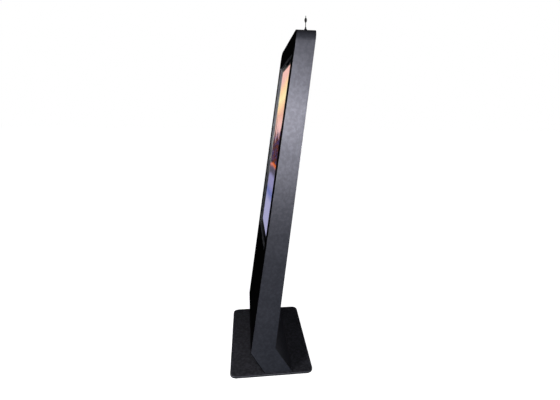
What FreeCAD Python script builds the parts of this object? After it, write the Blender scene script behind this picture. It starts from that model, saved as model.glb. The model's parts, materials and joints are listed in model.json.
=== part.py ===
"""Touchscreen kiosk: a leaning slab with a recessed portrait display on a plate foot.

Units are millimetres.  +Z is up, the screen faces -Y, X runs across the width.
The origin is on the floor, under the middle of the base plate.
"""
import math
import os

import FreeCAD
import Part

V = FreeCAD.Vector

# Overall size
HEIGHT = 1800.0
BODY_WIDTH = 690.0
BASE_WIDTH = 710.0
BASE_DEPTH = 470.0
BASE_CORNER = 38.0
BASE_RIM = 3.5
BASE_TOP = 14.0
PAD_THICKNESS = 3.0

# Corners of the side profile, as (y, z)
FOOT_FRONT = (-41.0, BASE_TOP)
FRONT_KNEE = (-118.0, 151.0)
TOP_FRONT = (112.0, HEIGHT)
TOP_BACK = (203.0, HEIGHT)
BACK_KNEE = (19.0, 172.0)
FOOT_BACK = (114.0, BASE_TOP)

# Sheet metal
SHELL = 3.0
SHEET = 2.0
TOP_CORNER = 50.0
SEAM = 0.5
INNER_HALF = BODY_WIDTH / 2 - SHELL
PANEL_HALF = INNER_HALF - SEAM
FRONT_HALF = BODY_WIDTH / 2
FRONT_GAP = 0.3

# Front face, heights measured up the leaning face from the knee
FRONT_SPLIT = 540.0
WINDOW_WIDTH = 556.0
WINDOW_BOTTOM = 572.0
WINDOW_TOP = 1568.0
WINDOW_CORNER = 3.0

# Display stack, depths measured in from the front face
IMAGE_WIDTH = 529.4
IMAGE_HEIGHT = 941.2
IMAGE_CENTRE = 1074.0
LCD_BORDER = 9.0
LCD_CORNER = 4.0
TOUCH_BAR = 20.0
TOUCH_BACK = 13.0
GASKET_BACK = 13.5
GLASS_BACK = 16.5
LCD_FRONT = 17.0
LCD_BACK = 49.0

# Frame inside the body
UPRIGHT_WIDTH = 30.0
UPRIGHT_BACK = 52.0
UPRIGHT_BOTTOM = 60.0
UPRIGHT_TOP = 1600.0
TUBE_WALL = 2.5
POST_WIDTH = 40.0
POST_DEPTH = 20.0
POST_BOTTOM = 40.0
POST_TOP = 1560.0
BAR_HEIGHTS = (700.0, 1074.0, 1448.0)
BAR_HEIGHT = 60.0
BAR_THICKNESS = 4.0
UPRIGHT_INSIDE = INNER_HALF - UPRIGHT_WIDTH
GUSSET = 6.0
FLANGE_TOP = 20.0

# Rear face, heights measured up the leaning rear face from the back knee
DOOR_BOTTOM = 520.0
DOOR_TOP = 1160.0
DOOR_HALF = 300.5
DOOR_SHEET = 1.5
HINGE_X = -301.0
HINGE_Y = 5.0
HINGE_RADIUS = 4.0
HINGE_PIN = 2.0
HINGE_BOTTOMS = (620.0, 1000.0)
KNUCKLE = 20.0
LOCK_X = 272.0
LOCK_Z = 840.0
FAN_X = 130.0
FAN_Z = 1400.0
FAN_SIZE = 80.0
FAN_DEPTH = 25.0
SPEAKER_X = 170.0
SPEAKER_Z = 330.0
INLET_X = 230.0
SWITCH_X = 176.0
POWER_Z = 90.0

# Antenna on the top
ANTENNA_X = 280.0
ANTENNA_Y = 160.0
ANTENNA_PIVOT = HEIGHT + 12.0


# ---------------------------------------------------------------- helpers

def box(x0, x1, y0, y1, z0, z1):
    """Box between three pairs of coordinates."""
    return Part.makeBox(x1 - x0, y1 - y0, z1 - z0, V(x0, y0, z0))


def rod(radius, length, start, direction):
    """Cylinder from a start point along a direction."""
    return Part.makeCylinder(radius, length, V(*start), V(*direction))


def prism(points, x0, x1):
    """Side profile given as (y, z) points, extruded across X."""
    corners = [V(x0, y, z) for y, z in points]
    face = Part.Face(Part.makePolygon(corners + corners[:1]))
    return face.extrude(V(x1 - x0, 0, 0))


def fuse(shapes):
    """One solid out of several that overlap."""
    whole = shapes[0].multiFuse(shapes[1:])
    return whole.removeSplitter()


def both_sides(shape):
    """A shape and its mirror image across the YZ plane."""
    return [shape, shape.mirror(V(0, 0, 0), V(1, 0, 0))]


def on_line(shape, start, end):
    """Lay a shape drawn upright on XZ onto the line between two (y, z) points."""
    lean = math.degrees(math.atan2(end[0] - start[0], end[1] - start[1]))
    placed = shape.copy()
    placed.rotate(V(0, 0, 0), V(1, 0, 0), -lean)
    placed.translate(V(0, start[0], start[1]))
    return placed


def on_front(shape):
    """Lay a shape on the leaning front face: +Y goes into the body."""
    return on_line(shape, FRONT_KNEE, TOP_FRONT)


def on_rear(shape):
    """Lay a shape on the leaning rear face: +Y comes out of the body."""
    return on_line(shape, BACK_KNEE, TOP_BACK)


def rounded_plate(x0, x1, z0, z1, radius, y0, y1):
    """Plate in the XZ plane with four round corners."""
    plate = box(x0, x1, y0, y1, z0, z1)
    edges = [e for e in plate.Edges if abs(e.Vertexes[0].Y - e.Vertexes[1].Y) > 0.5 * (y1 - y0)]
    return plate.makeFillet(radius, edges)


def ring_plate(outer, inner, y0, y1, inner_corner):
    """Flat frame between an outer and an inner (half width, bottom, top)."""
    plate = box(-outer[0], outer[0], y0, y1, outer[1], outer[2])
    hole = rounded_plate(-inner[0], inner[0], inner[1], inner[2], inner_corner, y0 - 1, y1 + 1)
    return plate.cut(hole)


def envelope(inset):
    """Solid filling the body outline, set in from the outside on the sides and top."""
    half = BODY_WIDTH / 2 - inset
    top = HEIGHT - inset
    radius = TOP_CORNER - inset
    corner = radius * (1 - math.sqrt(0.5))
    points = [V(-half, -400, 0), V(-half, -400, top - radius), V(-half + radius, -400, top),
              V(half - radius, -400, top), V(half, -400, top - radius), V(half, -400, 0)]
    left = Part.Arc(points[1], V(-half + corner, -400, top - corner), points[2])
    right = Part.Arc(points[3], V(half - corner, -400, top - corner), points[4])
    edges = [Part.makeLine(points[0], points[1]), left.toShape(),
             Part.makeLine(points[2], points[3]), right.toShape(),
             Part.makeLine(points[4], points[5]), Part.makeLine(points[5], points[0])]
    return Part.Face(Part.Wire(edges)).extrude(V(0, 900, 0))


def tube(x0, x1, y0, y1, z0, z1, wall):
    """Rectangular tube along Z, open at both ends."""
    outside = box(x0, x1, y0, y1, z0, z1)
    return outside.cut(box(x0 + wall, x1 - wall, y0 + wall, y1 - wall, z0 - 1, z1 + 1))


# ---------------------------------------------------------------- base and foot

SCREW_SPOTS = [(x, y) for x in (-240.0, 0.0, 240.0) for y in (0.0, 74.0)]


def base_screw(x, y, gap):
    """Countersunk screw from below; gap widens it to cut its own hole."""
    head = Part.makeCone(9 + gap, 4 + gap, 5, V(x, y, PAD_THICKNESS + 0.5))
    shank = rod(4 + gap, FLANGE_TOP - PAD_THICKNESS - 0.5, (x, y, PAD_THICKNESS + 0.5), (0, 0, 1))
    return fuse([head, shank])


def base_plate():
    """Heavy plate with round corners, drilled for the foot screws."""
    plate = box(-BASE_WIDTH / 2, BASE_WIDTH / 2, -BASE_DEPTH / 2, BASE_DEPTH / 2,
                PAD_THICKNESS, BASE_TOP)
    uprights = [e for e in plate.Edges if abs(e.Vertexes[0].Z - e.Vertexes[1].Z) > 1]
    plate = plate.makeFillet(BASE_CORNER, uprights)
    rims = [e for e in plate.Edges if abs(e.BoundBox.ZMin - BASE_TOP) < 0.01]
    plate = plate.makeFillet(BASE_RIM, rims)
    for x, y in SCREW_SPOTS:
        recess = rod(9.2, 1.0, (x, y, PAD_THICKNESS - 0.4), (0, 0, 1))
        plate = plate.cut(fuse([base_screw(x, y, 0.1), recess]))
    return plate


def base_pads():
    """Six rubber discs that the plate stands on."""
    spots = [(x, y) for x in (-310, 0, 310) for y in (-190, 190)]
    return [rod(22, PAD_THICKNESS, (x, y, 0), (0, 0, 1)) for x, y in spots]


def foot_flange():
    """Thick plate inside the foot that the base screws pull down."""
    flange = box(-INNER_HALF, INNER_HALF, -34, 102, BASE_TOP, FLANGE_TOP)
    for x, y in SCREW_SPOTS:
        flange = flange.cut(rod(4.05, 10, (x, y, BASE_TOP - 2), (0, 0, 1)))
    return flange


GUSSET_BOLTS = [(110.0, 14.0), (110.0, 40.0), (230.0, 14.0), (230.0, 40.0)]


def foot_gusset():
    """Plate on the +X side tying the flange to the upright."""
    profile = [(-28, FLANGE_TOP), (-104, 152), (-66, 420), (20, 420), (-4, 205), (8, 177), (98, FLANGE_TOP)]
    plate = prism(profile, UPRIGHT_INSIDE - GUSSET, UPRIGHT_INSIDE)
    for height, depth in GUSSET_BOLTS:
        plate = plate.cut(on_front(gusset_bolt_hole(height, depth, 4.1)))
    return plate


def gusset_bolt_hole(height, depth, radius):
    """Cylinder across the gusset and the near wall of the upright."""
    return rod(radius, GUSSET + 8, (UPRIGHT_INSIDE - GUSSET - 2, depth, height), (1, 0, 0))


def gusset_bolts():
    """Hex bolts through both gussets."""
    bolts = []
    for height, depth in GUSSET_BOLTS:
        start = UPRIGHT_INSIDE - GUSSET
        shank = rod(4, GUSSET + 5, (start, depth, height), (1, 0, 0))
        head = hexagon(6.5, start - 5, depth, height)
        bolts += both_sides(on_front(fuse([shank, head])))
    return bolts


def hexagon(radius, x, y, z):
    """Five millimetre thick hexagon facing X."""
    angles = [math.radians(60 * i) for i in range(6)]
    corners = [V(x, y + radius * math.cos(a), z + radius * math.sin(a)) for a in angles]
    return Part.Face(Part.makePolygon(corners + corners[:1])).extrude(V(5, 0, 0))


# ---------------------------------------------------------------- outer skin

PROFILE = [FOOT_FRONT, FRONT_KNEE, TOP_FRONT, TOP_BACK, BACK_KNEE, FOOT_BACK]
CAP_BOTTOM = HEIGHT - TOP_CORNER


def front_skin():
    """The layer that the black front sheets take up, with a hairline gap behind it."""
    depth = SHEET + FRONT_GAP
    upper = on_front(box(-400, 400, -10, depth, -20, 1800))
    length = math.dist(FOOT_FRONT, FRONT_KNEE)
    lower = on_line(box(-400, 400, -10, depth, -20, length + 20), FOOT_FRONT, FRONT_KNEE)
    return upper.fuse(lower)


def side_panel():
    """Flat side on +X, from the base plate up to the round top corner."""
    panel = prism(PROFILE, INNER_HALF, BODY_WIDTH / 2)
    return panel.cut(box(0, 400, -400, 400, CAP_BOTTOM, HEIGHT + 10)).cut(front_skin())


def top_cap():
    """Top sheet bent down over both round corners."""
    slab = prism(PROFILE, -BODY_WIDTH / 2, BODY_WIDTH / 2).common(envelope(0))
    skin = slab.cut(envelope(SHELL))
    cap = skin.common(box(-400, 400, -400, 400, CAP_BOTTOM, HEIGHT + 1))
    cap = cap.cut(front_skin())
    return cap.cut(rod(3.3, 10, (ANTENNA_X, ANTENNA_Y, HEIGHT - 5), (0, 0, 1)))


def front_lower_panel():
    """Plain sheet between the knee and the display."""
    return on_front(box(-FRONT_HALF, FRONT_HALF, 0, SHEET, 1.5, FRONT_SPLIT - SEAM))


def display_bezel():
    """Front sheet with the display window, trimmed to the round top."""
    sheet = on_front(box(-FRONT_HALF, FRONT_HALF, 0, SHEET, FRONT_SPLIT + SEAM, 1800))
    window = rounded_plate(-WINDOW_WIDTH / 2, WINDOW_WIDTH / 2, WINDOW_BOTTOM, WINDOW_TOP,
                           WINDOW_CORNER, -5, 10)
    return sheet.common(envelope(0)).cut(on_front(window))


def foot_front_panel():
    """Sheet down the front of the foot."""
    length = math.dist(FOOT_FRONT, FRONT_KNEE)
    sheet = box(-FRONT_HALF, FRONT_HALF, 0, SHEET, SEAM, length - 1.5)
    return on_line(sheet, FOOT_FRONT, FRONT_KNEE)


def foot_rear_panel():
    """Sheet down the rear of the foot."""
    length = math.dist(FOOT_BACK, BACK_KNEE)
    sheet = box(-PANEL_HALF, PANEL_HALF, -SHEET, 0, 2.0, length - SEAM)
    return on_line(sheet, FOOT_BACK, BACK_KNEE)


def slot(x, z, length, width):
    """Obround slot across X, cut through a rear panel."""
    half = length / 2 - width / 2
    body = box(x - half, x + half, -10, 10, z - width / 2, z + width / 2)
    ends = [rod(width / 2, 20, (x + side * half, -10, z), (0, 1, 0)) for side in (-1, 1)]
    return fuse([body] + ends)


def slot_field(x, z, rows, pitch, longest):
    """Round field of slots: each row is as long as a circle is wide there."""
    slots = []
    for row in range(rows):
        offset = (row - (rows - 1) / 2) * pitch
        length = 2 * math.sqrt(max((longest / 2) ** 2 - offset ** 2, 0))
        slots.append(slot(x, z + offset, max(length, 14), 5))
    return slots


PANEL_SCREWS = [(x, z) for z in (60.0, 290.0, 495.0, 1185.0, 1390.0, 1540.0) for x in (-322.0, 322.0)]


def rear_upper_panel():
    """Rear sheet above the door with an air outlet over each fan."""
    sheet = box(-PANEL_HALF, PANEL_HALF, -SHEET, 0, DOOR_TOP + SEAM, 1800)
    for x in (-FAN_X, FAN_X):
        sheet = sheet.cut(Part.makeCompound(slot_field(x, FAN_Z, 7, 10, 72)))
    return drilled(on_rear(sheet).common(envelope(SHELL + SEAM)), DOOR_TOP)


def rear_lower_panel():
    """Rear sheet below the door with speaker slots, air inlets and power cut-outs."""
    sheet = box(-PANEL_HALF, PANEL_HALF, -SHEET, 0, 1.5, DOOR_BOTTOM - SEAM)
    for x in (-SPEAKER_X, SPEAKER_X):
        sheet = sheet.cut(Part.makeCompound(slot_field(x, SPEAKER_Z, 7, 10, 72)))
    inlets = [slot(0, 180 + 12 * row, 150, 5) for row in range(5)]
    sheet = sheet.cut(Part.makeCompound(inlets))
    sheet = sheet.cut(box(INLET_X - 14, INLET_X + 14, -10, 10, POWER_Z - 10, POWER_Z + 10))
    sheet = sheet.cut(box(SWITCH_X - 11, SWITCH_X + 11, -10, 10, POWER_Z - 15, POWER_Z + 15))
    return drilled(on_rear(sheet), 0)


def drilled(panel, lowest):
    """Rear panel with its screw holes cut; lowest picks the panel above that height."""
    for x, z in PANEL_SCREWS:
        if (z > DOOR_TOP) == (lowest > 0):
            panel = panel.cut(on_rear(rod(2.6, 10, (x, -5, z), (0, 1, 0))))
    return panel


def panel_screws():
    """Dome-headed screws that hold the two rear panels to the posts."""
    screws = []
    for x, z in PANEL_SCREWS:
        shank = rod(2.5, 10, (x, -10, z), (0, 1, 0))
        head = Part.makeSphere(5.5, V(x, -2.5, z)).common(box(x - 8, x + 8, 0, 8, z - 8, z + 8))
        socket = rod(1.6, 4, (x, 1.2, z), (0, 1, 0))
        screws.append(on_rear(fuse([shank, head]).cut(socket)))
    return screws


def door_jamb():
    """Narrow sheet beside the door on the +X side."""
    return on_rear(box(DOOR_HALF + 1.5, PANEL_HALF, -SHEET, 0, DOOR_BOTTOM + SEAM, DOOR_TOP - SEAM))


# ---------------------------------------------------------------- inner frame

def upright():
    """Front tube on the +X side that carries the display bars."""
    post = tube(UPRIGHT_INSIDE, INNER_HALF, SHEET, UPRIGHT_BACK, UPRIGHT_BOTTOM, UPRIGHT_TOP, TUBE_WALL)
    for height, depth in GUSSET_BOLTS:
        post = post.cut(gusset_bolt_hole(height, depth, 4.1))
    return on_front(post)


def rear_post():
    """Rear tube on the +X side that the rear panels screw to."""
    post = tube(INNER_HALF - POST_WIDTH, INNER_HALF, -SHEET - POST_DEPTH, -SHEET, POST_BOTTOM, POST_TOP,
                TUBE_WALL)
    for x, z in PANEL_SCREWS:
        if x > 0:
            post = post.cut(rod(2.6, 10, (x, -10, z), (0, 1, 0)))
    return on_rear(post)


def rear_depth(height):
    """How far the rear face lies behind the front face, at a height up the front face."""
    front_lean = math.atan2(TOP_FRONT[0] - FRONT_KNEE[0], TOP_FRONT[1] - FRONT_KNEE[1])
    rear_lean = math.atan2(TOP_BACK[0] - BACK_KNEE[0], TOP_BACK[1] - BACK_KNEE[1])
    across = BACK_KNEE[0] - FRONT_KNEE[0]
    rise = BACK_KNEE[1] - FRONT_KNEE[1]
    knee_depth = across * math.cos(front_lean) - rise * math.sin(front_lean)
    knee_height = across * math.sin(front_lean) + rise * math.cos(front_lean)
    return knee_depth - (height - knee_height) * math.tan(front_lean - rear_lean)


def post_ties():
    """Short angle plates welded between each upright and its rear post."""
    ties = []
    for height in (300.0, 900.0, 1500.0):
        reach = rear_depth(height + 60) - POST_DEPTH - SHEET - 1.0
        plate = box(INNER_HALF - 26, INNER_HALF - 23, UPRIGHT_BACK, reach, height, height + 60)
        ties += both_sides(on_front(plate))
    return ties


LCD_SCREWS = [(x, z) for z in BAR_HEIGHTS for x in (-180.0, 180.0)]


def cross_bars():
    """Three flat bars across the uprights behind the display."""
    bars = []
    for centre in BAR_HEIGHTS:
        bar = box(-UPRIGHT_INSIDE, UPRIGHT_INSIDE, LCD_BACK, LCD_BACK + BAR_THICKNESS,
                  centre - BAR_HEIGHT / 2, centre + BAR_HEIGHT / 2)
        for x, z in LCD_SCREWS:
            bar = bar.cut(rod(3.1, 20, (x, LCD_BACK - 5, z), (0, 1, 0)))
        bars.append(on_front(bar))
    return bars


def lcd_screws():
    """Pan-head screws that hold the display to the bars."""
    screws = []
    for x, z in LCD_SCREWS:
        shank = rod(3, 12, (x, LCD_BACK - 8, z), (0, 1, 0))
        head = rod(5.5, 3.5, (x, LCD_BACK + BAR_THICKNESS, z), (0, 1, 0))
        screws.append(on_front(fuse([shank, head])))
    return screws


# ---------------------------------------------------------------- display

WINDOW = (WINDOW_WIDTH / 2, WINDOW_BOTTOM, WINDOW_TOP)
RING = (WINDOW_WIDTH / 2 + TOUCH_BAR, WINDOW_BOTTOM - TOUCH_BAR, WINDOW_TOP + TOUCH_BAR)


def touch_frame():
    """Infra-red touch frame; its inner walls are the walls of the recess."""
    return on_front(ring_plate(RING, WINDOW, SHEET, TOUCH_BACK, WINDOW_CORNER))


def glass_gasket():
    """Thin foam frame between the touch frame and the glass."""
    inner = (WINDOW[0] + 4, WINDOW[1] - 4, WINDOW[2] + 4)
    return on_front(ring_plate(RING, inner, TOUCH_BACK, GASKET_BACK, WINDOW_CORNER))


def cover_glass():
    """Toughened glass over the whole window."""
    return on_front(box(-RING[0], RING[0], GASKET_BACK, GLASS_BACK, RING[1], RING[2]))


def lcd_panel():
    """Display housing with a shallow seat for the picture layer."""
    half_width = IMAGE_WIDTH / 2
    half_height = IMAGE_HEIGHT / 2
    outer = (half_width + LCD_BORDER, half_height + LCD_BORDER)
    body = rounded_plate(-outer[0], outer[0], IMAGE_CENTRE - outer[1], IMAGE_CENTRE + outer[1],
                         LCD_CORNER, LCD_FRONT, LCD_BACK)
    seat = box(-half_width - 0.2, half_width + 0.2, LCD_FRONT - 1, LCD_FRONT + 1.5,
               IMAGE_CENTRE - half_height - 0.2, IMAGE_CENTRE + half_height + 0.2)
    body = body.cut(seat)
    for x, z in LCD_SCREWS:
        body = body.cut(rod(3.1, 20, (x, LCD_BACK - 9, z), (0, 1, 0)))
    return on_front(body)


def lcd_image():
    """Layer of the display that shows the picture."""
    half_height = IMAGE_HEIGHT / 2
    return on_front(box(-IMAGE_WIDTH / 2, IMAGE_WIDTH / 2, LCD_FRONT + 0.5, LCD_FRONT + 1.5,
                        IMAGE_CENTRE - half_height, IMAGE_CENTRE + half_height))


# ---------------------------------------------------------------- electronics

TRAY_FRONT = LCD_BACK + BAR_THICKNESS
TRAY_BACK = TRAY_FRONT + SHEET
TRAY = (-150.0, 230.0, 731.0, 1044.0)


def electronics_tray():
    """Folded tray hung between the lower two bars, reached through the door."""
    x0, x1, z0, z1 = TRAY
    plate = box(x0, x1, TRAY_FRONT, TRAY_BACK, z0 - 20, z1 + 20)
    lip = box(x0, x1, TRAY_BACK, TRAY_BACK + 12, z0 - 20, z0 - 18)
    return on_front(fuse([plate, lip]))


def media_player():
    """Small computer: a ribbed metal box with ports along its lower side."""
    x0, z0, width, height, depth = -135.0, 760.0, 190.0, 180.0, 34.0
    body = box(x0, x0 + width, TRAY_BACK, TRAY_BACK + depth, z0, z0 + height)
    for row in range(9):
        groove = x0 + 20 + row * 18
        body = body.cut(box(groove, groove + 8, TRAY_BACK + depth - 4, TRAY_BACK + depth + 1,
                            z0 + 14, z0 + height - 14))
    for port in range(4):
        start = x0 + 24 + port * 36
        body = body.cut(box(start, start + 15, TRAY_BACK + 12, TRAY_BACK + 19, z0 - 1, z0 + 9))
    return on_front(body)


def power_supply():
    """Caged power supply with a slotted cover."""
    x0, z0, width, height, depth = 90.0, 760.0, 110.0, 200.0, 38.0
    body = box(x0, x0 + width, TRAY_BACK, TRAY_BACK + depth, z0, z0 + height)
    for row in range(8):
        level = z0 + 30 + row * 16
        body = body.cut(box(x0 + 20, x0 + width - 20, TRAY_BACK + depth - 1.5, TRAY_BACK + depth + 1,
                            level, level + 6))
    return on_front(body)


def display_board():
    """Driver board for the display on four spacers, with its chips and connector."""
    x0, z0, width, height = -135.0, 960.0, 190.0, 84.0
    board = box(x0, x0 + width, TRAY_BACK + 8, TRAY_BACK + 9.6, z0, z0 + height)
    spots = [(x0 + a, z0 + b) for a in (8, width - 8) for b in (8, height - 8)]
    spacers = [rod(3, 8.5, (x, TRAY_BACK, z), (0, 1, 0)) for x, z in spots]
    chips = [box(x0 + 30, x0 + 58, TRAY_BACK + 9, TRAY_BACK + 12, z0 + 28, z0 + 56),
             box(x0 + 86, x0 + 110, TRAY_BACK + 9, TRAY_BACK + 11.5, z0 + 20, z0 + 40),
             box(x0 + 130, x0 + 176, TRAY_BACK + 9, TRAY_BACK + 17, z0 + 12, z0 + 22)]
    return on_front(fuse([board] + spacers + chips))


def speaker():
    """Square-flanged loudspeaker behind the rear slots on the +X side."""
    flange = box(SPEAKER_X - 45, SPEAKER_X + 45, -6, -SHEET, SPEAKER_Z - 45, SPEAKER_Z + 45)
    basket = Part.makeCone(38, 20, 22, V(SPEAKER_X, -6, SPEAKER_Z), V(0, -1, 0))
    magnet = rod(26, 12, (SPEAKER_X, -28, SPEAKER_Z), (0, -1, 0))
    bowl = Part.makeCone(36, 12, 16, V(SPEAKER_X, -1.9, SPEAKER_Z), V(0, -1, 0))
    dome = Part.makeSphere(13, V(SPEAKER_X, -26, SPEAKER_Z))
    return on_rear(fuse([fuse([flange, basket, magnet]).cut(bowl), dome]))


# ---------------------------------------------------------------- fans

FAN_PIN = 2.5


def fan_frame():
    """Square fan housing on the +X side with its motor plate, struts and shaft."""
    back = -SHEET
    inner = back - FAN_DEPTH
    half = FAN_SIZE / 2
    shell = box(FAN_X - half, FAN_X + half, inner, back, FAN_Z - half, FAN_Z + half)
    shell = shell.cut(rod(37, 40, (FAN_X, 5, FAN_Z), (0, -1, 0)))
    plate = rod(17, 3, (FAN_X, inner, FAN_Z), (0, 1, 0))
    struts = []
    for step in range(4):
        strut = box(FAN_X - 2, FAN_X + 2, inner, inner + 3, FAN_Z + 14, FAN_Z + 39)
        strut.rotate(V(FAN_X, 0, FAN_Z), V(0, 1, 0), 45 + 90 * step)
        struts.append(strut)
    shaft = rod(FAN_PIN, 18, (FAN_X, inner, FAN_Z), (0, 1, 0))
    return fuse([shell, plate, shaft] + struts)


def fan_rotor():
    """Hub and seven slanted blades on the +X fan shaft."""
    front = -SHEET - 3
    length = FAN_DEPTH - 7
    hub = rod(17, length, (FAN_X, front, FAN_Z), (0, -1, 0))
    blades = []
    for step in range(7):
        blade = box(FAN_X - 10, FAN_X + 10, -0.9, 0.9, FAN_Z + 15, FAN_Z + 34.5)
        blade.rotate(V(FAN_X, 0, FAN_Z), V(0, 0, 1), 38)
        blade.translate(V(0, front - length / 2, 0))
        blade.rotate(V(FAN_X, 0, FAN_Z), V(0, 1, 0), 360 / 7 * step)
        blades.append(blade)
    bore = rod(FAN_PIN + 0.05, 19.5, (FAN_X, -SHEET - FAN_DEPTH - 1, FAN_Z), (0, 1, 0))
    return fuse([hub] + blades).cut(bore)


def fan_guard():
    """Flat rings and spokes held off the outside of the slots on the +X side."""
    pieces = []
    for radius in (16, 26, 36):
        ring = rod(radius + 1, 2, (FAN_X, 2, FAN_Z), (0, 1, 0))
        pieces.append(ring.cut(rod(radius - 1, 4, (FAN_X, 1, FAN_Z), (0, 1, 0))))
    for step in range(4):
        spoke = box(FAN_X - 1, FAN_X + 1, 2, 4, FAN_Z + 14, FAN_Z + 43)
        foot = rod(2.5, 4.0, (FAN_X, 0, FAN_Z + 42), (0, 1, 0))
        arm = fuse([spoke, foot])
        arm.rotate(V(FAN_X, 0, FAN_Z), V(0, 1, 0), 45 + 90 * step)
        pieces.append(arm)
    return on_rear(fuse(pieces))


# ---------------------------------------------------------------- service door

def service_door():
    """Folded door with a return edge, drilled for the lock."""
    bottom = DOOR_BOTTOM + 1.5
    top = DOOR_TOP - 1.5
    half = DOOR_HALF - 1.0
    skin = box(-half, half, -DOOR_SHEET, 0, bottom, top)
    edge = 4.0
    outside = box(-half + edge, half - edge, -14, -DOOR_SHEET + 0.1, bottom + edge, top - edge)
    inside = box(-half + edge + 1.5, half - edge - 1.5, -20, 1, bottom + edge + 1.5, top - edge - 1.5)
    door = fuse([skin, outside.cut(inside)])
    return on_rear(door.cut(rod(8.1, 10, (LOCK_X, -5, LOCK_Z), (0, 1, 0))))


def hinge_pins():
    """Headed pin through each hinge."""
    pins = []
    for bottom in HINGE_BOTTOMS:
        pin = rod(HINGE_PIN, 3 * KNUCKLE + 1, (HINGE_X, HINGE_Y, bottom - 0.5), (0, 0, 1))
        head = rod(3.2, 1.5, (HINGE_X, HINGE_Y, bottom + 3 * KNUCKLE + 0.2), (0, 0, 1))
        pins.append(on_rear(fuse([pin, head])))
    return pins


def hinge_leaf(bottom, side, knuckles, bore):
    """One hinge leaf; side is -1 for the frame and +1 for the door."""
    near = HINGE_X + side * 6
    far = HINGE_X + side * 28
    flat = box(min(near, far), max(near, far), 0, 2, bottom, bottom + 3 * KNUCKLE)
    pieces = [flat]
    for low, high in knuckles:
        arm = box(min(HINGE_X, near), max(HINGE_X, near), 0, 2, bottom + low, bottom + high)
        barrel = rod(HINGE_RADIUS, high - low, (HINGE_X, HINGE_Y, bottom + low), (0, 0, 1))
        pieces += [arm, barrel]
    leaf = fuse(pieces)
    return on_rear(leaf.cut(rod(bore, 3 * KNUCKLE + 4, (HINGE_X, HINGE_Y, bottom - 2), (0, 0, 1))))


def frame_hinge_leaves():
    """Leaves on the jamb: the outer two knuckles of each hinge."""
    ends = [(0, KNUCKLE), (2 * KNUCKLE, 3 * KNUCKLE)]
    return [hinge_leaf(bottom, -1, ends, HINGE_PIN + 0.01) for bottom in HINGE_BOTTOMS]


def door_hinge_leaves():
    """Leaves on the door: the middle knuckle of each hinge."""
    middle = [(KNUCKLE + 0.3, 2 * KNUCKLE - 0.3)]
    return [hinge_leaf(bottom, 1, middle, HINGE_PIN + 0.05) for bottom in HINGE_BOTTOMS]


def lock_body():
    """Round lock case through the door with its nut behind."""
    collar = rod(11, 2.5, (LOCK_X, 0, LOCK_Z), (0, 1, 0))
    case = rod(8, 22, (LOCK_X, 0, LOCK_Z), (0, -1, 0))
    nut = rod(11, 4, (LOCK_X, -DOOR_SHEET, LOCK_Z), (0, -1, 0))
    bore = rod(5.05, 30, (LOCK_X, 5, LOCK_Z), (0, -1, 0))
    return on_rear(fuse([collar, case, nut]).cut(bore))


def lock_plug():
    """Turning plug with a key slot, and the square tail that carries the cam."""
    plug = rod(5, 25, (LOCK_X, 3, LOCK_Z), (0, -1, 0))
    key_slot = box(LOCK_X - 0.8, LOCK_X + 0.8, -6, 4, LOCK_Z - 3.5, LOCK_Z + 3.5)
    tail = box(LOCK_X - 3, LOCK_X + 3, -27, -21, LOCK_Z - 3, LOCK_Z + 3)
    return on_rear(fuse([plug, tail]).cut(key_slot))


def lock_cam():
    """Flat cam on the plug, hanging down when the door is free to open."""
    arm = box(LOCK_X - 6, LOCK_X + 6, -26.5, -24.5, LOCK_Z - 48, LOCK_Z + 8)
    square = box(LOCK_X - 3.02, LOCK_X + 3.02, -30, -20, LOCK_Z - 3.02, LOCK_Z + 3.02)
    return on_rear(arm.cut(square))


# ---------------------------------------------------------------- power entry

def power_inlet():
    """Flanged three-pin appliance inlet."""
    flange = rounded_plate(INLET_X - 25, INLET_X + 25, POWER_Z - 14, POWER_Z + 14, 4, 0, 2.5)
    case = box(INLET_X - 13.7, INLET_X + 13.7, -24, 0.5, POWER_Z - 9.7, POWER_Z + 9.7)
    cavity = box(INLET_X - 11, INLET_X + 11, -18, 4, POWER_Z - 7, POWER_Z + 7)
    return on_rear(fuse([flange, case]).cut(cavity))


def inlet_pins():
    """Three flat contact pins on the floor of the inlet."""
    pins = []
    for x, z in ((-6, -1.5), (0, 1.5), (6, -1.5)):
        pins.append(on_rear(box(INLET_X + x - 1, INLET_X + x + 1, -18, -3,
                                POWER_Z + z - 2, POWER_Z + z + 2)))
    return pins


def inlet_screws():
    """Two small screws through the inlet flange."""
    screws = []
    for x in (-20, 20):
        screws.append(on_rear(rod(3, 1.5, (INLET_X + x, 2.5, POWER_Z), (0, 1, 0))))
    return screws


ROCKER_Y = -1.0


def switch_case():
    """Frame of the mains switch."""
    flange = rounded_plate(SWITCH_X - 13, SWITCH_X + 13, POWER_Z - 17, POWER_Z + 17, 2, 0, 2)
    case = box(SWITCH_X - 10.7, SWITCH_X + 10.7, -20, 0.5, POWER_Z - 14.7, POWER_Z + 14.7)
    well = box(SWITCH_X - 8, SWITCH_X + 8, -14, 4, POWER_Z - 12.8, POWER_Z + 12.8)
    stub = rod(1.5, 2.2, (SWITCH_X + 6, ROCKER_Y, POWER_Z), (1, 0, 0))
    other = rod(1.5, 2.2, (SWITCH_X - 8.2, ROCKER_Y, POWER_Z), (1, 0, 0))
    return on_rear(fuse([fuse([flange, case]).cut(well), stub, other]))


def rocker():
    """Two-faced rocker, pressed in at the bottom."""
    profile = [(4.6, 11.0), (2.6, 0.0), (0.4, -11.0), (-5.5, -9.0), (-5.5, 9.0)]
    corners = [V(SWITCH_X - 7.6, y, POWER_Z + z) for y, z in profile]
    block = Part.Face(Part.makePolygon(corners + corners[:1])).extrude(V(15.2, 0, 0))
    for start in (SWITCH_X - 8.6, SWITCH_X + 5.6):
        block = block.cut(rod(1.55, 3, (start, ROCKER_Y, POWER_Z), (1, 0, 0)))
    return on_rear(block)


# ---------------------------------------------------------------- antenna

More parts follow.
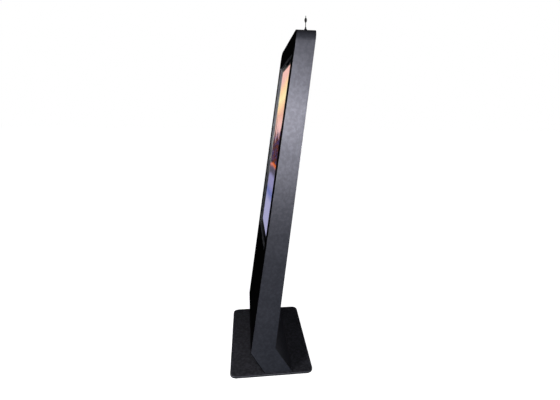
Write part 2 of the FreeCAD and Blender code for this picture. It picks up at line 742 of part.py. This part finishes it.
def antenna_base():
    """Collar on the top sheet with a hollow stem through it."""
    collar = Part.makeCone(9, 7, 4, V(ANTENNA_X, ANTENNA_Y, HEIGHT))
    stem = rod(3.2, 12, (ANTENNA_X, ANTENNA_Y, HEIGHT - 11), (0, 0, 1))
    nut = rod(6, 3, (ANTENNA_X, ANTENNA_Y, HEIGHT - SHELL - 3), (0, 0, 1))
    bore = rod(1.55, 30, (ANTENNA_X, ANTENNA_Y, HEIGHT - 15), (0, 0, 1))
    return fuse([collar, stem, nut]).cut(bore)


def antenna_swivel():
    """Turning fork above the collar; its spindle runs in the stem."""
    disc = rod(6.5, 3.5, (ANTENNA_X, ANTENNA_Y, HEIGHT + 4.1), (0, 0, 1))
    spindle = rod(1.5, 10, (ANTENNA_X, ANTENNA_Y, HEIGHT - 5), (0, 0, 1))
    ears = [box(ANTENNA_X + x, ANTENNA_X + x + 2, ANTENNA_Y - 3, ANTENNA_Y + 3,
                HEIGHT + 7, ANTENNA_PIVOT + 3) for x in (-5, 3)]
    pin = rod(1.2, 10, (ANTENNA_X - 5, ANTENNA_Y, ANTENNA_PIVOT), (1, 0, 0))
    return fuse([disc, spindle, pin] + ears)


def antenna_whip():
    """Thin rod with a sleeve bead, tilting in the fork."""
    eye = rod(3, 5.4, (ANTENNA_X - 2.7, ANTENNA_Y, ANTENNA_PIVOT), (1, 0, 0))
    whip = rod(1.7, 50, (ANTENNA_X, ANTENNA_Y, ANTENNA_PIVOT), (0, 0, 1))
    tip = Part.makeSphere(1.7, V(ANTENNA_X, ANTENNA_Y, ANTENNA_PIVOT + 50))
    hole = rod(1.25, 10, (ANTENNA_X - 5, ANTENNA_Y, ANTENNA_PIVOT), (1, 0, 0))
    return fuse([eye, whip, tip]).cut(hole)


def antenna_bead():
    """Oval sleeve pushed onto the whip."""
    centre = V(ANTENNA_X, ANTENNA_Y, ANTENNA_PIVOT + 33)
    ball = Part.makeSphere(6, V(0, 0, 0))
    stretch = FreeCAD.Matrix()
    stretch.scale(1, 1, 1.75)
    bead = ball.transformGeometry(stretch)
    bead.translate(centre)
    return bead.cut(rod(1.71, 40, (ANTENNA_X, ANTENNA_Y, ANTENNA_PIVOT + 10), (0, 0, 1)))


# ---------------------------------------------------------------- all nodes

def nodes():
    """Every node of the kiosk: a name and its solid or solids."""
    side_right, side_left = both_sides(side_panel())
    jamb_right, jamb_left = both_sides(door_jamb())
    upright_right, upright_left = both_sides(upright())
    post_right, post_left = both_sides(rear_post())
    gusset_right, gusset_left = both_sides(foot_gusset())
    rotor_right, rotor_left = [on_rear(s) for s in both_sides(fan_rotor())]
    return {
        "base_plate": base_plate(),
        "base_pads": base_pads(),
        "base_screws": [base_screw(x, y, 0) for x, y in SCREW_SPOTS],
        "foot_flange": foot_flange(),
        "foot_gusset_left": gusset_left,
        "foot_gusset_right": gusset_right,
        "gusset_bolts": gusset_bolts(),
        "side_panel_left": side_left,
        "side_panel_right": side_right,
        "top_cap": top_cap(),
        "front_lower_panel": front_lower_panel(),
        "display_bezel": display_bezel(),
        "foot_front_panel": foot_front_panel(),
        "foot_rear_panel": foot_rear_panel(),
        "rear_upper_panel": rear_upper_panel(),
        "rear_lower_panel": rear_lower_panel(),
        "panel_screws": panel_screws(),
        "door_jamb_left": jamb_left,
        "door_jamb_right": jamb_right,
        "upright_left": upright_left,
        "upright_right": upright_right,
        "rear_post_left": post_left,
        "rear_post_right": post_right,
        "post_ties": post_ties(),
        "cross_bars": cross_bars(),
        "lcd_screws": lcd_screws(),
        "touch_frame": touch_frame(),
        "glass_gasket": glass_gasket(),
        "cover_glass": cover_glass(),
        "lcd_panel": lcd_panel(),
        "lcd_image": lcd_image(),
        "electronics_tray": electronics_tray(),
        "media_player": media_player(),
        "power_supply": power_supply(),
        "display_board": display_board(),
        "speakers": both_sides(speaker()),
        "fan_frames": [on_rear(s) for s in both_sides(fan_frame())],
        "fan_rotor_left": rotor_left,
        "fan_rotor_right": rotor_right,
        "fan_guards": both_sides(fan_guard()),
        "service_door": service_door(),
        "hinge_pins": hinge_pins(),
        "frame_hinge_leaves": frame_hinge_leaves(),
        "door_hinge_leaves": door_hinge_leaves(),
        "lock_body": lock_body(),
        "lock_plug": lock_plug(),
        "lock_cam": lock_cam(),
        "power_inlet": power_inlet(),
        "inlet_pins": inlet_pins(),
        "inlet_screws": inlet_screws(),
        "switch_case": switch_case(),
        "rocker": rocker(),
        "antenna_base": antenna_base(),
        "antenna_swivel": antenna_swivel(),
        "antenna_whip": antenna_whip(),
        "antenna_bead": antenna_bead(),
    }


def export(name, shape):
    """Write one node, as one solid or as a group of solids."""
    if isinstance(shape, list):
        shape = Part.makeCompound(shape)
    shape.exportStep("parts/" + name + ".step")
    bad = [s for s in shape.Solids if not s.isValid() or s.Volume <= 0]
    print(name, len(shape.Solids), "solids", "BAD" if bad else "ok")


os.makedirs("parts", exist_ok=True)
for node_name, node_shape in nodes().items():
    export(node_name, node_shape)
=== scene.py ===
"""Looks for the touchscreen kiosk: materials, light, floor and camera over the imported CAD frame.

Units are metres, in the CAD frame: +Z up, the screen faces -Y.
"""
import json
import math

import bpy
from mathutils import Matrix, Vector

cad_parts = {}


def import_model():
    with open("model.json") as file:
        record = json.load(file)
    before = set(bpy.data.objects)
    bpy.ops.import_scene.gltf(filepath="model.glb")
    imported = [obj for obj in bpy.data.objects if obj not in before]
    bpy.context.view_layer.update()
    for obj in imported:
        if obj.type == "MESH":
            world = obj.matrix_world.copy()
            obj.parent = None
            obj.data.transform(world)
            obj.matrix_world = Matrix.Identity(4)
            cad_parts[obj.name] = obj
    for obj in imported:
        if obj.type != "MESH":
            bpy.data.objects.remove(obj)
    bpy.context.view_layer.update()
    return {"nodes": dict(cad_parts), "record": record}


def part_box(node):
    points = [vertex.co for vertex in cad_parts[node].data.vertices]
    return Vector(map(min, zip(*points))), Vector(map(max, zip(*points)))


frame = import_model()
NODES = frame["nodes"]

# Camera: place in metres, angles in degrees, lens and sensor in millimetres.
CAMERA_PLACE = Vector((2.0215, -0.1217, 1.4127))
CAMERA_YAW = 7.11
CAMERA_PITCH = -14.20
CAMERA_ROLL = 0.71
CAMERA_LENS = 22.47
CAMERA_SHIFT = (-0.0169, 0.0102)
SENSOR_WIDTH = 36.0

# Paint colours, linear.
CHARCOAL = (0.105, 0.103, 0.126)
BLACK = (0.0016, 0.0016, 0.0018)
BASE_GREY = (0.041, 0.040, 0.049)
# Lighter grey painted along the base plate's rounded rim as a painted highlight.
RIM_HIGHLIGHT_GREY = (0.15, 0.15, 0.17)

# Stage: a floor well past the view, and a weak blue sky to light with, both white to the camera.
WHITE = (1.0, 1.0, 1.0)
FLOOR_HALF = 40.0
FLOOR_COLOUR = (0.80, 0.80, 0.80)
SKY_COLOUR = (0.48, 0.84, 1.1)
SKY_STRENGTH = 0.09

# Small rounded edge for nodes whose CAD edges are square: metres, with the angle in degrees.
EDGE_WIDTH = 0.0006
EDGE_SEGMENTS = 2
EDGE_ANGLE = 35
WELD_DISTANCE = 0.00001


# ---------------------------------------------------------------- material helpers

class Builder:
    """A new material with short calls for adding and joining nodes."""

    def __init__(self, name):
        self.material = bpy.data.materials.new(name)
        self.material.use_nodes = True
        self.tree = self.material.node_tree
        self.shader = self.tree.nodes["Principled BSDF"]
        coordinates = self.add("ShaderNodeTexCoord")
        self.place = coordinates.outputs["Object"]
        self.facing = coordinates.outputs["Normal"]

    def add(self, kind, **settings):
        """A node of this kind; settings name its sockets or its properties."""
        node = self.tree.nodes.new(kind)
        for key, value in settings.items():
            if key in node.inputs:
                node.inputs[key].default_value = value
            else:
                setattr(node, key, value)
        return node

    def join(self, output, target):
        self.tree.links.new(output, target)

    def feed(self, socket, value):
        """Gives a socket a number, a colour or another node's output."""
        if isinstance(value, tuple):
            socket.default_value = (*value, 1.0)
        elif isinstance(value, (int, float)):
            socket.default_value = value
        else:
            self.join(value, socket)

    def axes(self, vector):
        """The X, Y and Z of a place or a direction."""
        node = self.add("ShaderNodeSeparateXYZ")
        self.join(vector, node.inputs["Vector"])
        return node.outputs

    def noise(self, scale, detail, roughness=0.5):
        """Noise over the object, in features per metre."""
        node = self.add("ShaderNodeTexNoise", Scale=scale, Detail=detail, Roughness=roughness)
        self.join(self.place, node.inputs["Vector"])
        return node.outputs["Fac"]

    def stretched_noise(self, scale, stretch, detail):
        """Noise drawn out along one or more axes."""
        mapping = self.add("ShaderNodeMapping", Scale=stretch)
        self.join(self.place, mapping.inputs["Vector"])
        node = self.add("ShaderNodeTexNoise", Scale=scale, Detail=detail)
        self.join(mapping.outputs["Vector"], node.inputs["Vector"])
        return node.outputs["Fac"]

    def ramp(self, value, stops):
        """Colour ramp from (position, colour) stops."""
        node = self.add("ShaderNodeValToRGB")
        band = node.color_ramp
        while len(band.elements) < len(stops):
            band.elements.new(0.5)
        for element, (position, colour) in zip(band.elements, stops):
            element.position = position
            element.color = (*colour, 1.0)
        self.join(value, node.inputs["Fac"])
        return node.outputs["Color"]

    def span(self, value, low, high):
        """Stretches a 0 to 1 value to another range."""
        node = self.add("ShaderNodeMapRange")
        node.inputs["To Min"].default_value = low
        node.inputs["To Max"].default_value = high
        self.join(value, node.inputs["Value"])
        return node.outputs["Result"]

    def math(self, operation, first, second):
        """Arithmetic on two values, either of which may be a plain number."""
        node = self.add("ShaderNodeMath", operation=operation)
        for socket, value in zip(node.inputs, (first, second)):
            self.feed(socket, value)
        return node.outputs["Value"]

    def mix(self, factor, first, second):
        """Colour between two colours."""
        node = self.add("ShaderNodeMix", data_type="RGBA")
        factor_and_colours = (node.inputs[0], node.inputs[6], node.inputs[7])
        for socket, value in zip(factor_and_colours, (factor, first, second)):
            self.feed(socket, value)
        return node.outputs[2]

    def rim(self):
        """1 half way round an edge between a level face and an upright one, 0 on those faces."""
        upward = self.axes(self.facing)["Z"]
        sideways = self.math("SUBTRACT", 1.0, upward)
        return self.math("MULTIPLY", self.math("MULTIPLY", upward, sideways), 4.0)

    def bump(self, height, strength, distance):
        """Fine relief on the shader's normal."""
        node = self.add("ShaderNodeBump", Strength=strength, Distance=distance)
        self.join(height, node.inputs["Height"])
        self.join(node.outputs["Normal"], self.shader.inputs["Normal"])

    def surface(self, colour, roughness, **plain):
        """Sets the shader: colour and roughness may be linked, the rest are numbers."""
        self.feed(self.shader.inputs["Base Color"], colour)
        self.feed(self.shader.inputs["Roughness"], roughness)
        for name, value in plain.items():
            self.shader.inputs[name.replace("_", " ")].default_value = value
        return self.material


def scaled(colour, factor):
    """The colour made lighter or darker."""
    return tuple(channel * factor for channel in colour)


# ---------------------------------------------------------------- materials

def powder_coat(name, colour, grain, metallic=0.0, specular=0.5, low=0.42, high=0.62,
                contrast=0.25, rim_highlight=None):
    """Sprayed paint: fine orange-peel grain, faint mottling, and any painted highlight in a lighter colour
    on the rounded rim.
    """
    b = Builder(name)
    fine = b.noise(1400.0, 2.0)
    broad = b.noise(7.0, 4.0)
    speck = b.noise(60.0, 5.0, 0.65)
    tint = b.ramp(broad, [(0.3, scaled(colour, 0.90)), (0.7, scaled(colour, 1.10))])
    dark = scaled(colour, 1.0 - contrast)
    light = scaled(colour, 1.0 + contrast)
    fleck = b.ramp(speck, [(0.42, dark), (0.62, light)])
    colours = b.mix(0.5, tint, fleck)
    if rim_highlight:
        # Painted highlight: the lighter colour is mixed in where the surface turns between level and
        # upright.
        colours = b.mix(b.rim(), colours, rim_highlight)
    b.bump(fine, grain, 0.0004)
    return b.surface(colours, b.span(broad, low, high), Metallic=metallic, Specular_IOR_Level=specular)


def brushed_metal(name, colour, stretch, low=0.25, high=0.45):
    """Plated or brushed metal with drawn-out scratches."""
    b = Builder(name)
    lines = b.stretched_noise(60.0, stretch, 5.0)
    cloud = b.noise(14.0, 4.0)
    tint = b.ramp(cloud, [(0.3, scaled(colour, 0.82)), (0.7, scaled(colour, 1.08))])
    b.bump(lines, 0.12, 0.0004)
    return b.surface(tint, b.span(lines, low, high), Metallic=1.0)


def moulded_plastic(name, colour):
    """Spark-textured plastic."""
    b = Builder(name)
    fine = b.noise(1800.0, 2.0)
    broad = b.noise(30.0, 3.0)
    tint = b.ramp(broad, [(0.3, scaled(colour, 0.85)), (0.7, scaled(colour, 1.25))])
    b.bump(fine, 0.15, 0.0003)
    return b.surface(tint, b.span(broad, 0.5, 0.65), Specular_IOR_Level=0.25)


def rubber(name):
    """Dusty black rubber."""
    b = Builder(name)
    dust = b.noise(180.0, 5.0)
    tint = b.ramp(dust, [(0.35, (0.012, 0.012, 0.012)), (0.75, (0.035, 0.034, 0.033))])
    b.bump(dust, 0.3, 0.0006)
    return b.surface(tint, b.span(dust, 0.7, 0.9))


def foam(name):
    """Closed-cell foam with open pores on its cut face."""
    b = Builder(name)
    cells = b.add("ShaderNodeTexVoronoi", Scale=900.0)
    b.join(b.place, cells.inputs["Vector"])
    tint = b.ramp(cells.outputs["Distance"], [(0.0, (0.006, 0.006, 0.006)), (0.6, (0.03, 0.03, 0.03))])
    b.bump(cells.outputs["Distance"], 0.5, 0.0005)
    return b.surface(tint, 0.95)


def cover_glass(name):
    """Clear glass with a faint veil of reflection and finger smears."""
    b = Builder(name)
    smear = b.noise(9.0, 5.0)
    tint = b.ramp(smear, [(0.35, (0.010, 0.011, 0.012)), (0.75, (0.030, 0.032, 0.034))])
    material = b.surface(tint, b.span(smear, 0.06, 0.16), Alpha=0.08, Specular_IOR_Level=0.15)
    material.surface_render_method = "BLENDED"
    return material


def circuit_board(name):
    """Solder mask with faint tracks."""
    b = Builder(name)
    tracks = b.add("ShaderNodeTexBrick", Scale=90.0)
    b.join(b.place, tracks.inputs["Vector"])
    b.feed(tracks.inputs["Color1"], (0.010, 0.070, 0.030))
    b.feed(tracks.inputs["Color2"], (0.014, 0.085, 0.038))
    b.feed(tracks.inputs["Mortar"], (0.030, 0.140, 0.060))
    b.bump(tracks.outputs["Fac"], 0.2, 0.0003)
    return b.surface(tracks.outputs["Color"], 0.35)


def speaker_paper(name):
    """Pressed black paper with loose fibres."""
    b = Builder(name)
    fibre = b.noise(500.0, 5.0)
    tint = b.ramp(fibre, [(0.35, (0.010, 0.010, 0.010)), (0.7, (0.045, 0.044, 0.042))])
    b.bump(fibre, 0.4, 0.0006)
    return b.surface(tint, 0.85)


# ---------------------------------------------------------------- lit picture

SALMON = (0.92, 0.54, 0.47)
APRICOT = (1.00, 0.68, 0.38)
CREAM = (1.00, 0.86, 0.47)
PEACH = (0.86, 0.46, 0.35)
ROSE = (0.80, 0.46, 0.48)
DUSK = (0.020, 0.009, 0.013)
FAR_BLUE = (0.11, 0.11, 0.25)
ORANGE = (0.80, 0.16, 0.03)
LAVENDER = (0.35, 0.35, 0.57)
DEEP_BLUE = (0.07, 0.11, 0.38)
SHADED_WATER = (0.23, 0.22, 0.42)
RIPPLE = (0.52, 0.50, 0.74)
EMBER = (0.30, 0.08, 0.04)
TWILIGHT = (0.14, 0.11, 0.36)

# Bands from the bottom (0) to the top (1) of the picture: water, shore, far hills, sky.
BANDS = [(0.0, LAVENDER), (0.19, LAVENDER), (0.25, DEEP_BLUE), (0.29, SHADED_WATER), (0.345, SHADED_WATER),
         (0.375, DUSK), (0.405, DUSK), (0.425, ORANGE), (0.44, DUSK),
         (0.52, FAR_BLUE), (0.59, ROSE), (0.68, SALMON), (0.73, PEACH), (0.79, APRICOT),
         (0.84, CREAM), (0.90, APRICOT), (0.95, SALMON)]
TREE_LIGHT = [(0.37, DUSK), (0.43, EMBER), (0.47, DUSK), (0.55, DUSK), (0.60, TWILIGHT), (0.66, DUSK)]

# Heights in the picture, the tilt of its bands per metre across, and the strength of its light.
WATER_TOP = 0.42
SHORE = 0.44
SLOPE = -0.10
GLOW = 1.15


def height_in(b, node_name):
    """0 at the lowest and 1 at the highest point of a CAD node."""
    low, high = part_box(node_name)
    height = b.add("ShaderNodeMapRange")
    height.inputs["From Min"].default_value = low[2]
    height.inputs["From Max"].default_value = high[2]
    b.join(b.axes(b.place)["Z"], height.inputs["Value"])
    return height.outputs["Result"]


def skyline(b, lowest, scale, detail, amount):
    """The height of a rough outline, which varies only across the picture."""
    rough = b.stretched_noise(scale, (1.0, 0.0, 0.0), detail)
    return b.math("ADD", lowest, b.math("MULTIPLY", rough, amount))


def add_hills(b, level, slope, scene):
    """Blue hills, and trees flecked with light before them, both above the shore."""
    above_shore = b.math("GREATER_THAN", level, SHORE)
    hill_top = skyline(b, 0.42, 5.0, 4.0, 0.24)
    tree_top = b.math("SUBTRACT", skyline(b, 0.225, 12.0, 9.0, 0.80), slope)
    hills = b.math("MULTIPLY", b.math("LESS_THAN", level, hill_top), above_shore)
    trees = b.math("MULTIPLY", b.math("LESS_THAN", level, tree_top), above_shore)
    flecks = b.ramp(b.stretched_noise(55.0, (0.3, 0.2, 1.0), 3.0), TREE_LIGHT)
    return b.mix(trees, b.mix(hills, scene, FAR_BLUE), flecks)


def add_ripples(b, level, scene):
    """Paler streaks that lie along the water."""
    streaks = b.span(b.stretched_noise(14.0, (1.0, 0.2, 9.0), 3.0), 0.0, 0.35)
    water = b.math("LESS_THAN", level, WATER_TOP)
    return b.mix(b.math("MULTIPLY", streaks, water), scene, RIPPLE)


def picture(name):
    """Lit picture: a painted evening sky over dark hills and lavender water."""
    b = Builder(name)
    level = height_in(b, "lcd_image")
    slope = b.math("MULTIPLY", b.axes(b.place)["X"], SLOPE)
    wash = b.stretched_noise(4.0, (0.7, 0.2, 2.2), 6.0)
    unevenness = b.math("MULTIPLY", b.math("SUBTRACT", wash, 0.5), 0.06)
    scene = b.ramp(b.math("ADD", b.math("ADD", level, slope), unevenness), BANDS)
    scene = add_hills(b, level, slope, scene)
    scene = add_ripples(b, level, scene)
    b.join(scene, b.shader.inputs["Emission Color"])
    b.shader.inputs["Emission Strength"].default_value = GLOW
    return b.surface((0.004, 0.004, 0.004), 0.5, Specular_IOR_Level=0.1)


# ---------------------------------------------------------------- dressing the CAD nodes

def slot_materials():
    """One finished material for each material slot of the record."""
    upright = (6.0, 6.0, 0.25)
    return {
        "body_paint": powder_coat("charcoal powder coat", CHARCOAL, 0.38,
                                  metallic=0.55, low=0.36, high=0.56),
        "black_paint": powder_coat("black satin paint", BLACK, 0.06, specular=0.02, low=0.45, high=0.6),
        # The base plate's rounded rim gets a painted highlight in a lighter grey.
        "base_paint": powder_coat("dark base paint", BASE_GREY, 0.30,
                                  high=0.58, contrast=0.95, rim_highlight=RIM_HIGHLIGHT_GREY),
        "plated_steel": brushed_metal("zinc plated sheet", (0.55, 0.55, 0.53), upright),
        "steel_fixings": brushed_metal("plated fixings", (0.30, 0.30, 0.31), (3.0, 3.0, 3.0), 0.42, 0.60),
        "chrome_lock": brushed_metal("polished lock", (0.72, 0.72, 0.74), (2.0, 2.0, 2.0), 0.08, 0.2),
        "rubber": rubber("black rubber"),
        "foam": foam("gasket foam"),
        "glass": cover_glass("cover glass"),
        "lcd_metal": brushed_metal("folded aluminium", (0.32, 0.32, 0.33), upright, 0.35, 0.55),
        "picture": picture("lit picture"),
        "circuit_board": circuit_board("driver board"),
        "speaker_paper": speaker_paper("speaker cone"),
        "black_plastic": moulded_plastic("black plastic", (0.014, 0.014, 0.015)),
        "black_rod": powder_coat("black coated wire", (0.010, 0.010, 0.010), 0.05,
                                 specular=0.3, contrast=0.1),
        "wire_steel": brushed_metal("guard wire", (0.30, 0.30, 0.31), (2.0, 2.0, 2.0), 0.45, 0.65),
        "brass_pins": brushed_metal("plated brass", (0.78, 0.60, 0.30), (2.0, 2.0, 2.0), 0.15, 0.3),
    }


def dress_nodes():
    """Every CAD node gets its slot's material, and the touch frame a lighter plastic of its own."""
    materials = slot_materials()
    for part in frame["record"]["subparts"]:
        node = NODES[part["node"]]
        node.data.materials.clear()
        node.data.materials.append(materials[part["material_slot"]])
    NODES["touch_frame"].data.materials[0] = moulded_plastic("touch frame plastic", (0.16, 0.16, 0.18))


def shade_picture():
    """The lit picture is seen, but it neither lights nor reflects in its neighbours."""
    NODES["lcd_image"].visible_diffuse = False
    NODES["lcd_image"].visible_glossy = False


SQUARE_EDGED = ("side_panel_left", "side_panel_right", "service_door", "media_player", "power_supply",
                "rocker", "foot_front_panel", "foot_rear_panel", "front_lower_panel", "base_pads")


def soften(node):
    """Rounds the sharp edges of a CAD node without touching its own mesh."""
    weld = node.modifiers.new("weld", "WELD")
    weld.merge_threshold = WELD_DISTANCE
    bevel = node.modifiers.new("edge", "BEVEL")
    bevel.width = EDGE_WIDTH
    bevel.segments = EDGE_SEGMENTS
    bevel.limit_method = "ANGLE"
    bevel.angle_limit = math.radians(EDGE_ANGLE)


# ---------------------------------------------------------------- stage

def floor():
    """Pale floor that glows as white as the backdrop and gives the kiosk no light."""
    mesh = bpy.data.meshes.new("floor")
    corners = [(-FLOOR_HALF, -FLOOR_HALF, 0), (FLOOR_HALF, -FLOOR_HALF, 0),
               (FLOOR_HALF, FLOOR_HALF, 0), (-FLOOR_HALF, FLOOR_HALF, 0)]
    mesh.from_pydata(corners, [], [(0, 1, 2, 3)])
    plane = bpy.data.objects.new("floor", mesh)
    bpy.context.scene.collection.objects.link(plane)
    b = Builder("pale floor")
    b.feed(b.shader.inputs["Emission Color"], WHITE)
    b.shader.inputs["Emission Strength"].default_value = 1.0
    mesh.materials.append(b.surface(FLOOR_COLOUR, 0.9, Specular_IOR_Level=0.0))
    plane.visible_diffuse = False
    plane.visible_glossy = False


def world():
    """White backdrop to the eye; as a light it is weak and comes from the +X side only."""
    sky = bpy.data.worlds.new("studio")
    bpy.context.scene.world = sky
    bpy.context.scene.view_settings.view_transform = "Standard"
    sky.use_nodes = True
    tree = sky.node_tree
    shade = tree.nodes["Background"]
    seen = tree.nodes.new("ShaderNodeBackground")
    seen.inputs["Strength"].default_value = 1.0
    seen.inputs["Color"].default_value = (*WHITE, 1.0)
    shade.inputs["Color"].default_value = (*SKY_COLOUR, 1.0)
    direction = tree.nodes.new("ShaderNodeTexCoord")
    parts = tree.nodes.new("ShaderNodeSeparateXYZ")
    side = tree.nodes.new("ShaderNodeMapRange")
    side.inputs["To Max"].default_value = SKY_STRENGTH
    tree.links.new(direction.outputs["Generated"], parts.inputs["Vector"])
    tree.links.new(parts.outputs["X"], side.inputs["Value"])
    tree.links.new(side.outputs["Result"], shade.inputs["Strength"])
    path = tree.nodes.new("ShaderNodeLightPath")
    blend = tree.nodes.new("ShaderNodeMixShader")
    tree.links.new(path.outputs["Is Camera Ray"], blend.inputs[0])
    tree.links.new(shade.outputs[0], blend.inputs[1])
    tree.links.new(seen.outputs[0], blend.inputs[2])
    tree.links.new(blend.outputs[0], tree.nodes["World Output"].inputs["Surface"])


def area_light(name, place, aim, size, power, spread=180):
    """Square soft light aimed at a point: metres, watts, and the beam's spread in degrees."""
    lamp = bpy.data.lights.new(name, "AREA")
    lamp.size = size
    lamp.energy = power
    lamp.spread = math.radians(spread)
    holder = bpy.data.objects.new(name, lamp)
    holder.location = place
    holder.rotation_euler = (Vector(aim) - Vector(place)).to_track_quat("-Z", "Y").to_euler()
    holder.visible_camera = False
    bpy.context.scene.collection.objects.link(holder)


def lights():
    """Side light pooled on the upper body, and fills for the other faces."""
    area_light("side key", (1.60, 0.12, 1.40), (0.34, 0.08, 1.20), 0.6, 6.3, 112)
    area_light("rear fill", (-0.6, 2.6, 1.7), (0.0, 0.1, 1.30), 1.0, 8.0, 32)
    area_light("front fill", (-0.9, -3.0, 1.7), (0.0, 0.0, 0.7), 1.4, 20.0)
    area_light("recess light", (1.3, -0.7, 1.75), (-0.28, 0.06, 1.50), 0.4, 0.8, 32)
    area_light("foot light", (1.4, -1.5, 1.0), (0.15, -0.1, 0.05), 0.5, 1.3, 40)
    area_light("far side fill", (-2.0, 1.4, 1.2), (0.0, 0.1, 1.30), 1.0, 6.0, 36)


def camera():
    """Wide lens near the +X side, a little ahead of the kiosk's middle and looking down."""
    yaw = math.radians(CAMERA_YAW)
    pitch = math.radians(CAMERA_PITCH)
    look = Vector((-math.cos(yaw) * math.cos(pitch), math.sin(yaw) * math.cos(pitch), math.sin(pitch)))
    right = look.cross(Vector((0, 0, 1))).normalized()
    up = right.cross(look)
    roll = math.radians(CAMERA_ROLL)
    side = right * math.cos(roll) + up * math.sin(roll)
    top = up * math.cos(roll) - right * math.sin(roll)
    turn = Matrix((side, top, -look)).transposed()
    lens = bpy.data.cameras.new("camera")
    lens.lens = CAMERA_LENS
    lens.sensor_width = SENSOR_WIDTH
    lens.shift_x, lens.shift_y = CAMERA_SHIFT
    holder = bpy.data.objects.new("camera", lens)
    holder.matrix_world = Matrix.Translation(CAMERA_PLACE) @ turn.to_4x4()
    bpy.context.scene.collection.objects.link(holder)
    bpy.context.scene.camera = holder


dress_nodes()
shade_picture()
for node_name in SQUARE_EDGED:
    soften(NODES[node_name])
floor()
world()
lights()
camera()
